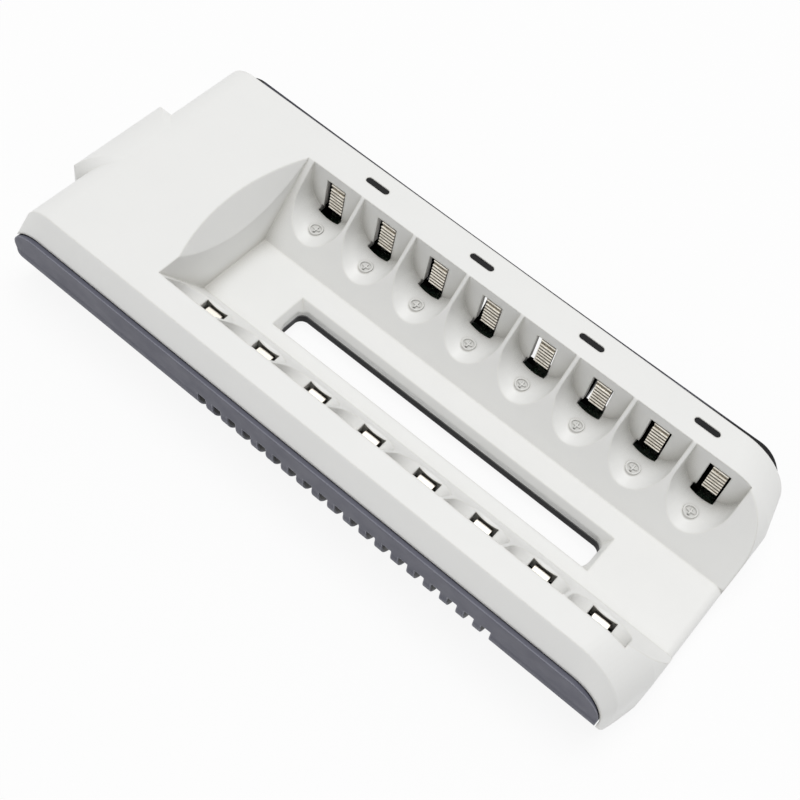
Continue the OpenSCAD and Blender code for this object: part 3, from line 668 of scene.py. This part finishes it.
@dataclass(frozen=True)
class WoundCore:
    """A dark pressed core with a copper winding at its two sides."""

    name: str
    core: Colour
    copper: Colour
    middle: float
    half: float
    turn_pitch: float = 0.6 * MM
    border: float = 0.02 * MM
    grain: float = 2200.0
    # gap_dark darkens the grooves between turns as painted shade.
    gap_dark: float = 0.4
    grain_bright: float = 1.8
    copper_metal: float = 0.9
    relief: float = 0.08 * MM

    def build(self) -> bpy.types.Material:
        """Builds the material.

        Returns:
            The finished material.
        """
        material, wiring, shader = new_material(self.name)
        place = wiring.place()
        parts = wiring.split(place)
        aside = wiring.math("ABSOLUTE", wiring.math("SUBTRACT", parts["X"], self.middle))
        wound = wiring.spread(aside, 0.0, 1.0, self.half - self.border, self.half + self.border)
        angle = wiring.math("MULTIPLY", parts["Z"], math.tau / self.turn_pitch)
        turns = wiring.math("SINE", angle)
        grain = wiring.noise(self.grain, 3.0, place)
        crest = wiring.spread(turns, low=0.0, high=1.0, start=-1.0, stop=1.0)
        # Painted shade in the grooves between the turns, lighter on their crests.
        bright = wiring.blend(crest, shaded(self.copper, self.gap_dark), self.copper)
        dark = wiring.blend(grain, self.core, shaded(self.core, self.grain_bright))
        height = wiring.math("ADD", wiring.math("MULTIPLY", turns, wound), grain)
        wiring.fill(shader, {
            "Base Color": wiring.blend(wound, dark, bright),
            "Metallic": wiring.math("MULTIPLY", wound, self.copper_metal),
            "Roughness": wiring.spread(grain, low=0.32, high=0.6, start=0.3, stop=0.7),
            "Normal": wiring.bump(0.6, self.relief, height)})
        return material


@dataclass(frozen=True)
class SleevedCan:
    """A capacitor: a shrunk sleeve with an aluminium can showing at its top."""

    name: str
    sleeve: Colour
    can: Colour
    top: float
    sleeve_end: float = 0.2 * MM
    sleeve_taper: float = 0.1 * MM
    ripple: float = 500.0
    ripple_bright: float = 1.6
    relief: float = 0.06 * MM

    def build(self) -> bpy.types.Material:
        """Builds the material.

        Returns:
            The finished material.
        """
        material, wiring, shader = new_material(self.name)
        place = wiring.place()
        end = self.top - self.sleeve_end
        bare = wiring.spread(wiring.split(place)["Z"], 0.0, 1.0, end, end + self.sleeve_taper)
        ripple = wiring.noise(self.ripple, 2.0, place)
        tone = wiring.blend(ripple, self.sleeve, shaded(self.sleeve, self.ripple_bright))
        wiring.fill(shader, {
            "Base Color": wiring.blend(bare, tone, self.can),
            "Metallic": bare,
            "Roughness": wiring.spread(ripple, low=0.25, high=0.42, start=0.3, stop=0.7),
            "Normal": wiring.bump(0.4, self.relief, ripple)})
        return material


@dataclass(frozen=True)
class ClearLens:
    """The tinted resin of a small diode, cloudy inside."""

    name: str
    colour: Colour
    depth: Colour
    cloud: float = 900.0
    cloud_span: tuple[float, float] = (0.35, 0.65)
    coat: float = 0.5

    def build(self) -> bpy.types.Material:
        """Builds the material.

        Returns:
            The finished material.
        """
        material, wiring, shader = new_material(self.name)
        cloud = wiring.noise(self.cloud, 3.0)
        share = wiring.spread(cloud, 0.0, 1.0, *self.cloud_span)
        wiring.fill(shader, {
            "Base Color": wiring.blend(share, self.colour, self.depth),
            "Roughness": wiring.spread(cloud, 0.08, 0.2, *self.cloud_span),
            "Coat Weight": self.coat})
        return material


class Finishes:
    """The finishes of the charger, each built once."""

    def __init__(self) -> None:
        """Builds every finish."""
        # In the mouldings, crease is painted shade in corners, depth is painted shade in closed
        # spaces, and edge is a painted highlight on the edges.
        self.white = SlotPlastic(
            name="white_moulding", colour=(0.865, 0.865, 0.850), cloud=(0.852, 0.853, 0.838),
            edge=(0.905, 0.895, 0.850), crease=(0.610, 0.595, 0.550), roughness=0.42,
            texture=MouldTexture.SATIN, rounding=0.8 * MM, reach=6.0 * MM,
            depth=(0.010, 0.010, 0.010), open_share=0.40,
            slot_half=(49.5 * MM, 6.2 * MM, 3.9 * MM)).build()
        self.slate = TrayPlastic(
            name="slate_moulding", colour=(0.112, 0.114, 0.148), cloud=(0.103, 0.105, 0.136),
            edge=(0.40, 0.41, 0.47), crease=(0.010, 0.010, 0.013), roughness=0.5,
            texture=MouldTexture.MATT, rounding=0.6 * MM, reach=1.4 * MM,
            depth=(0.004, 0.004, 0.005), open_share=0.45, specular=0.2).build()
        self.smoked = MouldedPlastic(
            name="smoked_window", colour=(0.010, 0.010, 0.011), cloud=(0.014, 0.014, 0.015),
            edge=(0.03, 0.03, 0.033), crease=(0.006, 0.006, 0.007), roughness=0.30,
            texture=MouldTexture.POLISHED, rounding=0.3 * MM, reach=2.0 * MM,
            specular=0.15).build()
        self.black = MouldedPlastic(
            name="black_moulding", colour=(0.022, 0.022, 0.024), cloud=(0.030, 0.030, 0.032),
            edge=(0.06, 0.06, 0.064), crease=(0.012, 0.012, 0.013), roughness=0.40,
            texture=MouldTexture.MATT, rounding=0.3 * MM, reach=3.0 * MM).build()
        self.resin = MouldedPlastic(
            name="chip_resin", colour=(0.020, 0.021, 0.022), cloud=(0.030, 0.030, 0.030),
            edge=(0.05, 0.05, 0.05), crease=(0.012, 0.012, 0.012), roughness=0.55,
            texture=MouldTexture.MATT, rounding=0.2 * MM, reach=2.0 * MM).build()
        self.rubber = MouldedPlastic(
            name="foot_rubber", colour=(0.030, 0.030, 0.031), cloud=(0.045, 0.044, 0.043),
            edge=(0.07, 0.07, 0.07), crease=(0.018, 0.018, 0.018), roughness=0.75,
            texture=MouldTexture.RUBBERY, rounding=0.6 * MM, reach=2.0 * MM).build()
        self.nickel = PlatedSheet("nickel_plate", Plating.NICKEL, roughness=0.26).build()
        self.leaf = PlatedSheet(
            "leaf_plate", Plating.NICKEL, roughness=0.32, crease_shade=(0.10, 0.075, 0.05),
            reach=1.2 * MM, rim=(0.40, 0.32, 0.23), rounding=0.25 * MM).build()
        self.zinc = PlatedSheet("zinc_plate", Plating.ZINC, roughness=0.34).build()
        self.lens = ClearLens(
            "diode_resin", colour=(0.55, 0.60, 0.50), depth=(0.40, 0.52, 0.36)).build()


def numbered(stem: str, count: int) -> list[str]:
    """Gives the names of a row of nodes, counted from 1."""
    return [f"{stem}_{number + 1}" for number in range(count)]


def show(thing: bpy.types.Object) -> None:
    """Puts an object into the scene."""
    bpy.context.scene.collection.objects.link(thing)


def dress(nodes: list[str], finish: bpy.types.Material) -> list[str]:
    """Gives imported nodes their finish.

    Args:
        nodes: Names of the nodes.
        finish: Their material.

    Returns:
        The names of the nodes.
    """
    for node in nodes:
        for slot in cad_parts[node].material_slots:
            slot.material = finish
    return nodes


def merged(mesh: bpy.types.Mesh) -> bmesh.types.BMesh:
    """Copies a mesh and joins its loose faces.

    Args:
        mesh: The mesh.

    Returns:
        The joined copy.
    """
    work = bmesh.new()
    work.from_mesh(mesh)
    bmesh.ops.remove_doubles(work, verts=work.verts, dist=MERGE_REACH)
    return work


def add_piece(name: str, work: bmesh.types.BMesh, finish: bpy.types.Material,
              crease: float, nodes: list[str]) -> bpy.types.Object:
    """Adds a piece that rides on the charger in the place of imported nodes.

    Args:
        name: Name of the piece.
        work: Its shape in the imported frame, which is used up.
        finish: Its material.
        crease: Least angle in degrees at which an edge is sharp.
        nodes: The nodes that it stands for.

    Returns:
        The new object.
    """
    mesh = bpy.data.meshes.new(name)
    work.to_mesh(mesh)
    work.free()
    mesh.shade_smooth()
    mesh.set_sharp_from_angle(angle=math.radians(crease))
    mesh.materials.append(finish)
    piece = bpy.data.objects.new(name, mesh)
    show(piece)
    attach(piece, ROOT)
    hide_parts(*nodes)
    return piece


@dataclass
class Base:
    """The slate base with its feet and screws."""

    finishes: Finishes
    tray: str = "base_tray"
    name: str = "moulded_base"
    feet: str = "feet"
    screws: str = "screws"
    flare: float = 0.7 * MM
    bow: float = 0.6 * MM
    flare_drop: float = 3.0 * MM
    flare_skin: float = 1.0 * MM
    rim_cuts: int = 8
    crease: float = 24.0

    def flared(self, place: Vector, high: Vector) -> float:
        """Finds how far a point of the far panel is flared outwards.

        Args:
            place: The point.
            high: Highest corner of the tray.

        Returns:
            The flare, most along the upper rim and towards its two ends.
        """
        if place.y < high.y - self.flare_skin:
            return 0.0
        share = max(0.0, 1 - (high.z - place.z) / self.flare_drop)
        return share * (self.flare + self.bow * (place.x / high.x) ** 2)

    def build(self) -> list[str]:
        """Makes the base from a copy with a flared far panel, and dresses what is on it.

        Returns:
            Names of the pieces.
        """
        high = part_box(self.tray)[1]
        work = merged(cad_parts[self.tray].data)
        rim = [edge for edge in work.edges
               if all(self.flared(vert.co, high) >= self.flare for vert in edge.verts)]
        bmesh.ops.subdivide_edges(work, edges=rim, cuts=self.rim_cuts)
        for vert in work.verts:
            vert.co.y += self.flared(vert.co, high)
        piece = add_piece(
            self.name, work, self.finishes.slate, self.crease, [self.tray])
        piece.modifiers.new("flat_faces", "WEIGHTED_NORMAL").keep_sharp = True
        fixed = dress([self.feet], self.finishes.rubber) + dress([self.screws], self.finishes.zinc)
        return [piece.name] + fixed


@dataclass
class PositiveContacts:
    """The row of ribbed positive contacts, pressed from thin strip."""

    finishes: Finishes
    name: str = "pressed_contacts"
    sheet: float = 0.2 * MM
    bend: float = 0.35 * MM
    bend_points: int = 6
    step: float = 0.07 * MM
    lip: float = 0.75 * MM
    lip_gap: float = 0.55 * MM
    rib_count: int = 7
    rib_pitch: float = 1.08 * MM
    rib_depth: float = 0.7 * MM
    rib_share: float = 0.5
    rib_margin: float = 0.6 * MM
    foot: float = 2.0 * MM
    crease: float = 35.0
    nodes: list[str] = field(default_factory=lambda: numbered("plus_contact", BAYS))

    @property
    def rib_top(self) -> float:
        """Height of the upper end of the ribs."""
        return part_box(self.nodes[0])[1].z - self.lip - self.lip_gap

    @property
    def rib_start(self) -> float:
        """Height of the lower end of the ribs."""
        return self.rib_top - self.rib_count * self.rib_pitch

    def sizes(self) -> dict[str, float]:
        """Lists the sizes that the node tree takes.

        Returns:
            The sizes in metres, by the names of the tree's inputs.
        """
        low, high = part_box(self.nodes[0])
        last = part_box(self.nodes[-1])[0]
        return {
            "Width": high.x - low.x,
            "Sheet": self.sheet,
            "Bend Radius": self.bend,
            "Rib Start": self.rib_start,
            "Rib Top": self.rib_top,
            "Rib Pitch": self.rib_pitch,
            "Rib Depth": self.rib_depth,
            "Rib Share": self.rib_share,
            "Rib Limit": low.y + self.rib_depth + self.rib_margin,
            "Bay Pitch": (last.x - low.x) / (BAYS - 1),
        }

    def strip(self) -> bpy.types.Mesh:
        """Draws the centre line of the first contact's strip.

        Returns:
            A mesh of one chain of edges, from the top fold to the foot.
        """
        low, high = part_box(self.nodes[0])
        middle = (low.x + high.x) / 2
        half = self.sheet / 2
        front = low.y + half
        plate = front + self.rib_depth
        tail = high.y - self.foot + half
        top = high.z - half
        under = high.z - self.lip
        ledge = self.rib_start + half
        chain = [
            (tail, top), (front, top), (front, under), (plate, under), (plate, ledge),
            (tail, ledge), (tail, low.z + half), (high.y, low.z + half)]
        mesh = bpy.data.meshes.new(self.name)
        edges = [(start, start + 1) for start in range(len(chain) - 1)]
        mesh.from_pydata([(middle, y, z) for y, z in chain], edges, [])
        return mesh

    def rib_offset(self, wiring: Wiring, given: bpy.types.NodeOutputs) -> Socket:
        """Wires how far each point of the strip is pressed out.

        Args:
            wiring: Wiring of the node tree.
            given: The tree's inputs.

        Returns:
            Socket of the offset: a half round for each rib, and nothing off the ribs.
        """
        place = wiring.add("GeometryNodeInputPosition").outputs["Position"]
        parts = wiring.split(place)
        above = wiring.math("SUBTRACT", parts["Z"], given["Rib Start"])
        turn = wiring.math("FRACT", wiring.math("DIVIDE", above, given["Rib Pitch"]))
        across = wiring.math("SUBTRACT", wiring.math("MULTIPLY", turn, 2.0), 1.0)
        across = wiring.math("DIVIDE", across, given["Rib Share"])
        hill = wiring.math("SUBTRACT", 1.0, wiring.math("MULTIPLY", across, across))
        hill = wiring.math("SQRT", wiring.math("MAXIMUM", hill, 0.0))
        push = wiring.math("MULTIPLY", hill, wiring.math("MULTIPLY", given["Rib Depth"], -1.0))
        front = wiring.math("LESS_THAN", parts["Y"], given["Rib Limit"])
        below = wiring.math("LESS_THAN", parts["Z"], given["Rib Top"])
        push = wiring.math("MULTIPLY", push, wiring.math("MULTIPLY", front, below))
        return wiring.add("ShaderNodeCombineXYZ", {"Y": push}).outputs["Vector"]

    def pressed(self, wiring: Wiring, given: bpy.types.NodeOutputs) -> Socket:
        """Wires the strip's way from a chain of edges to a pressed sheet.

        Args:
            wiring: Wiring of the node tree.
            given: The tree's inputs.

        Returns:
            Socket of the mesh of one contact.
        """
        chain = wiring.add("GeometryNodeMeshToCurve", {"Mesh": given["Strip"]})
        bent = wiring.add("GeometryNodeFilletCurve", {
            "Curve": chain.outputs["Curve"], "Radius": given["Bend Radius"]})
        self.set_mode(bent, "POLY", {"Count": self.bend_points})
        fine = wiring.add("GeometryNodeResampleCurve", {"Curve": bent.outputs["Curve"]})
        self.set_mode(fine, "LENGTH", {"Length": self.step})
        ribbed = wiring.add("GeometryNodeSetPosition", {
            "Geometry": fine.outputs["Curve"], "Offset": self.rib_offset(wiring, given)})
        level = wiring.add("GeometryNodeSetCurveNormal", {"Curve": ribbed.outputs["Geometry"]})
        self.set_mode(level, "FREE", {"Normal": (1.0, 0.0, 0.0)})
        section = wiring.add("GeometryNodeCurvePrimitiveQuadrilateral", {
            "Width": given["Width"], "Height": given["Sheet"]})
        swept = wiring.add("GeometryNodeCurveToMesh", {
            "Curve": level.outputs["Curve"], "Profile Curve": section.outputs["Curve"],
            "Fill Caps": True})
        return swept.outputs["Mesh"]

    def tree(self) -> bpy.types.NodeTree:
        """Builds the node tree that presses the strip and repeats it along the bays.

        Returns:
            The Geometry Nodes tree.
        """
        tree = bpy.data.node_groups.new("pressed_strip", "GeometryNodeTree")
        kinds = {"Strip": "NodeSocketGeometry"}
        kinds |= dict.fromkeys(self.sizes(), "NodeSocketFloat")
        kinds |= {"Bay Count": "NodeSocketInt", "Plating": "NodeSocketMaterial"}
        for name, kind in kinds.items():
            tree.interface.new_socket(name, in_out="INPUT", socket_type=kind)
        tree.interface.new_socket("Contacts", in_out="OUTPUT", socket_type="NodeSocketGeometry")
        wiring = Wiring(tree)
        given = wiring.add("NodeGroupInput").outputs
        pitch = wiring.add("ShaderNodeCombineXYZ", {"X": given["Bay Pitch"]})
        row = wiring.add("GeometryNodeMeshLine", {
            "Count": given["Bay Count"], "Offset": pitch.outputs["Vector"]})
        copies = wiring.add("GeometryNodeInstanceOnPoints", {
            "Points": row.outputs["Mesh"], "Instance": self.pressed(wiring, given)})
        solid = wiring.add("GeometryNodeRealizeInstances", {
            "Geometry": copies.outputs["Instances"]})
        plated = wiring.add("GeometryNodeSetMaterial", {
            "Geometry": solid.outputs["Geometry"], "Material": given["Plating"]})
        wiring.add("NodeGroupOutput", {"Contacts": plated.outputs["Geometry"]})
        return tree

    @staticmethod
    def set_mode(node: Node, mode: str, values: dict[str, object]) -> None:
        """Sets a node's mode, then the inputs that belong to it.

        Args:
            node: A curve node with a mode.
            mode: Name of the mode.
            values: Values of its inputs, by name.
        """
        node.mode = mode
        for name, value in values.items():
            node.inputs[name].default_value = value

    def build(self) -> list[str]:
        """Makes the contacts as one plain mesh that stands for the row of solids.

        Returns:
            Name of the new piece.
        """
        tree = self.tree()
        values = {**self.sizes(), "Bay Count": BAYS, "Plating": self.finishes.nickel}
        maker = bpy.data.objects.new(self.name + "_strip", self.strip())
        show(maker)
        press = maker.modifiers.new("press", "NODES")
        press.node_group = tree
        for item in tree.interface.items_tree:
            if item.in_out == "INPUT" and item.name in values:
                press[item.identifier] = values[item.name]
        made = maker.evaluated_get(bpy.context.evaluated_depsgraph_get())
        work = merged(bpy.data.meshes.new_from_object(made))
        maker.modifiers.remove(press)
        bpy.data.objects.remove(maker)
        bmesh.ops.recalc_face_normals(work, faces=work.faces)
        piece = add_piece(
            self.name, work, self.finishes.nickel, self.crease, self.nodes)
        return [piece.name]


@dataclass
class Shell:
    """The white moulded shell."""

    finishes: Finishes
    node: str = "top_shell"

    def build(self) -> list[str]:
        """Dresses the shell."""
        return dress([self.node], self.finishes.white)


@dataclass
class NegativeContacts:
    """The springy negative leaves."""

    finishes: Finishes
    nodes: list[str] = field(default_factory=lambda: numbered("minus_contact", BAYS))

    def build(self) -> list[str]:
        """Dresses the leaves."""
        return dress(self.nodes, self.finishes.leaf)


@dataclass
class Indicators:
    """The dark indicator windows and the diodes under them."""

    finishes: Finishes
    pipes: list[str] = field(default_factory=lambda: numbered("light_pipe", LIGHTS))
    diodes: str = "indicator_diodes"

    def build(self) -> list[str]:
        """Dresses the windows and the diodes."""
        return dress(self.pipes, self.finishes.smoked) + dress([self.diodes], self.finishes.lens)


@dataclass
class Inlet:
    """The mains inlet in the hump."""

    finishes: Finishes
    block: str = "inlet_block"
    pins: str = "inlet_pins"

    def build(self) -> list[str]:
        """Dresses the block and its pins."""
        return dress([self.block], self.finishes.black) + dress([self.pins], self.finishes.zinc)


@dataclass
class Circuit:
    """The circuit board and the power parts on it."""

    finishes: Finishes
    board: str = "main_board"
    track_pitch: float = 1.6 * MM
    transformer: str = "transformer"
    core_half: float = 4.5 * MM
    capacitors: list[str] = field(
        default_factory=lambda: ["input_capacitor", "output_capacitors"])
    chip: str = "control_chip"

    def build(self) -> list[str]:
        """Dresses the board and its parts.

        Returns:
            Names of the dressed pieces.
        """
        laminate = BoardLaminate(
            "board_laminate", lacquer=(0.006, 0.022, 0.014), track=(0.012, 0.045, 0.026),
            pitch=self.track_pitch)
        low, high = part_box(self.transformer)
        wound = WoundCore(
            "wound_core", core=(0.020, 0.020, 0.022), copper=(0.72, 0.36, 0.16),
            middle=(low.x + high.x) / 2, half=self.core_half)
        done = dress([self.board], laminate.build()) + dress([self.transformer], wound.build())
        for node in self.capacitors:
            sleeve = SleevedCan(
                node + "_sleeve", sleeve=(0.016, 0.020, 0.036), can=(0.70, 0.71, 0.72),
                top=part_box(node)[1].z)
            done += dress([node], sleeve.build())
        return done + dress([self.chip], self.finishes.resin)


@dataclass
class Studio:
    """A pale floor, an even sky and one large soft lamp."""

    floor_half: float = 3.0
    floor_share: float = 0.9
    paper: Colour = (0.90, 0.90, 0.90)
    paper_cloud: Colour = (0.88, 0.88, 0.88)
    paper_grain: float = 40.0
    paper_roughness: float = 0.9
    sky: float = 0.52
    lamp_power: float = 10.5
    lamp_size: float = 0.9
    lamp_place: Place = (-0.05, 0.15, 1.5)

    def build(self) -> list[str]:
        """Sets up the floor, the sky and the lamp."""
        return [self.floor(), self.world(), self.lamp()]

    @staticmethod
    def seen(wiring: Wiring) -> Socket:
        """Marks the rays that show the background, straight or in a reflection.

        Args:
            wiring: Wiring of the tree.

        Returns:
            Socket that is 1 for those rays.
        """
        path = wiring.add("ShaderNodeLightPath").outputs
        mirrored = wiring.math("MAXIMUM", path["Is Glossy Ray"], path["Is Transmission Ray"])
        return wiring.math("MAXIMUM", path["Is Camera Ray"], mirrored)

    def floor(self) -> str:
        """Lays the floor.

        Returns:
            Name of the floor.
        """
        reach = self.floor_half
        corners = [(-reach, -reach, 0), (reach, -reach, 0), (reach, reach, 0), (-reach, reach, 0)]
        mesh = bpy.data.meshes.new("studio_floor")
        mesh.from_pydata(corners, [], [(0, 1, 2, 3)])
        floor = bpy.data.objects.new("studio_floor", mesh)
        show(floor)
        material, wiring, shader = new_material("studio_paper")
        grain = wiring.noise(self.paper_grain, 2.0)
        wiring.fill(shader, {
            "Base Color": wiring.blend(grain, self.paper, self.paper_cloud),
            "Roughness": self.paper_roughness})
        glow = wiring.add("ShaderNodeEmission", {"Color": (1.0, 1.0, 1.0), "Strength": 1.0})
        mixed = wiring.add("ShaderNodeMixShader")
        share = wiring.math("MULTIPLY", self.seen(wiring), self.floor_share)
        wiring.feed(mixed.inputs[0], share)
        wiring.feed(mixed.inputs[1], shader.outputs["BSDF"])
        wiring.feed(mixed.inputs[2], glow.outputs["Emission"])
        surface = material.node_tree.nodes["Material Output"].inputs["Surface"]
        wiring.feed(surface, mixed.outputs["Shader"])
        mesh.materials.append(material)
        return floor.name

    def world(self) -> str:
        """Sets up the sky.

        Returns:
            Name of the world.
        """
        world = bpy.data.worlds.new("studio_sky")
        world.use_nodes = True
        bpy.context.scene.world = world
        wiring = Wiring(world.node_tree)
        strength = wiring.spread(self.seen(wiring), self.sky, 1.0)
        background = world.node_tree.nodes["Background"]
        wiring.fill(background, {"Color": (1.0, 1.0, 1.0), "Strength": strength})
        return world.name

    def lamp(self) -> str:
        """Hangs the lamp.

        Returns:
            Name of the lamp.
        """
        light = bpy.data.lights.new("soft_lamp", "AREA")
        light.energy = self.lamp_power
        light.size = self.lamp_size
        lamp = bpy.data.objects.new("soft_lamp", light)
        lamp.location = self.lamp_place
        lamp.rotation_euler = (-Vector(self.lamp_place)).to_track_quat("-Z", "Y").to_euler()
        show(lamp)
        return lamp.name


@dataclass
class PhotoCamera:
    """The camera at the photograph's place, with its angles in degrees."""

    place: Place = (0.08631, -0.16356, 0.27547)
    azimuth: float = 26.65
    elevation: float = 56.13
    roll: float = 15.32
    lens: float = 60.63
    sensor: float = 36.0
    nearest: float = 10.0 * MM

    def build(self) -> str:
        """Sets up the camera.

        Returns:
            Name of the camera.
        """
        angles = (self.azimuth, self.elevation, self.roll)
        turn, tilt, roll = (math.radians(angle) for angle in angles)
        flat = math.cos(tilt)
        back = Vector((math.sin(turn) * flat, -math.cos(turn) * flat, math.sin(tilt)))
        right = Vector((0, 0, 1)).cross(back).normalized()
        up = back.cross(right)
        rolled_right = math.cos(roll) * right + math.sin(roll) * up
        rolled_up = math.cos(roll) * up - math.sin(roll) * right
        data = bpy.data.cameras.new("photo_camera")
        data.lens = self.lens
        data.sensor_width = self.sensor
        data.clip_start = self.nearest
        camera = bpy.data.objects.new("photo_camera", data)
        turned = Matrix((rolled_right, rolled_up, back)).transposed().to_4x4()
        camera.matrix_world = Matrix.Translation(self.place) @ turned
        show(camera)
        bpy.context.scene.camera = camera
        return camera.name


def main() -> None:
    """Builds the camera, the studio and every sub-assembly in order."""
    logging.basicConfig(level=logging.INFO, format="%(message)s")
    bpy.context.scene.view_settings.view_transform = "Standard"
    LOG.info("camera: %s", PhotoCamera().build())
    LOG.info("studio: %s", ", ".join(Studio().build()))
    finishes = Finishes()
    for part in (Base, PositiveContacts, Shell, NegativeContacts, Indicators, Inlet, Circuit):
        for piece in part(finishes).build():
            LOG.info("%s: %s", part.__name__, piece)


if __name__ == "__main__":
    main()
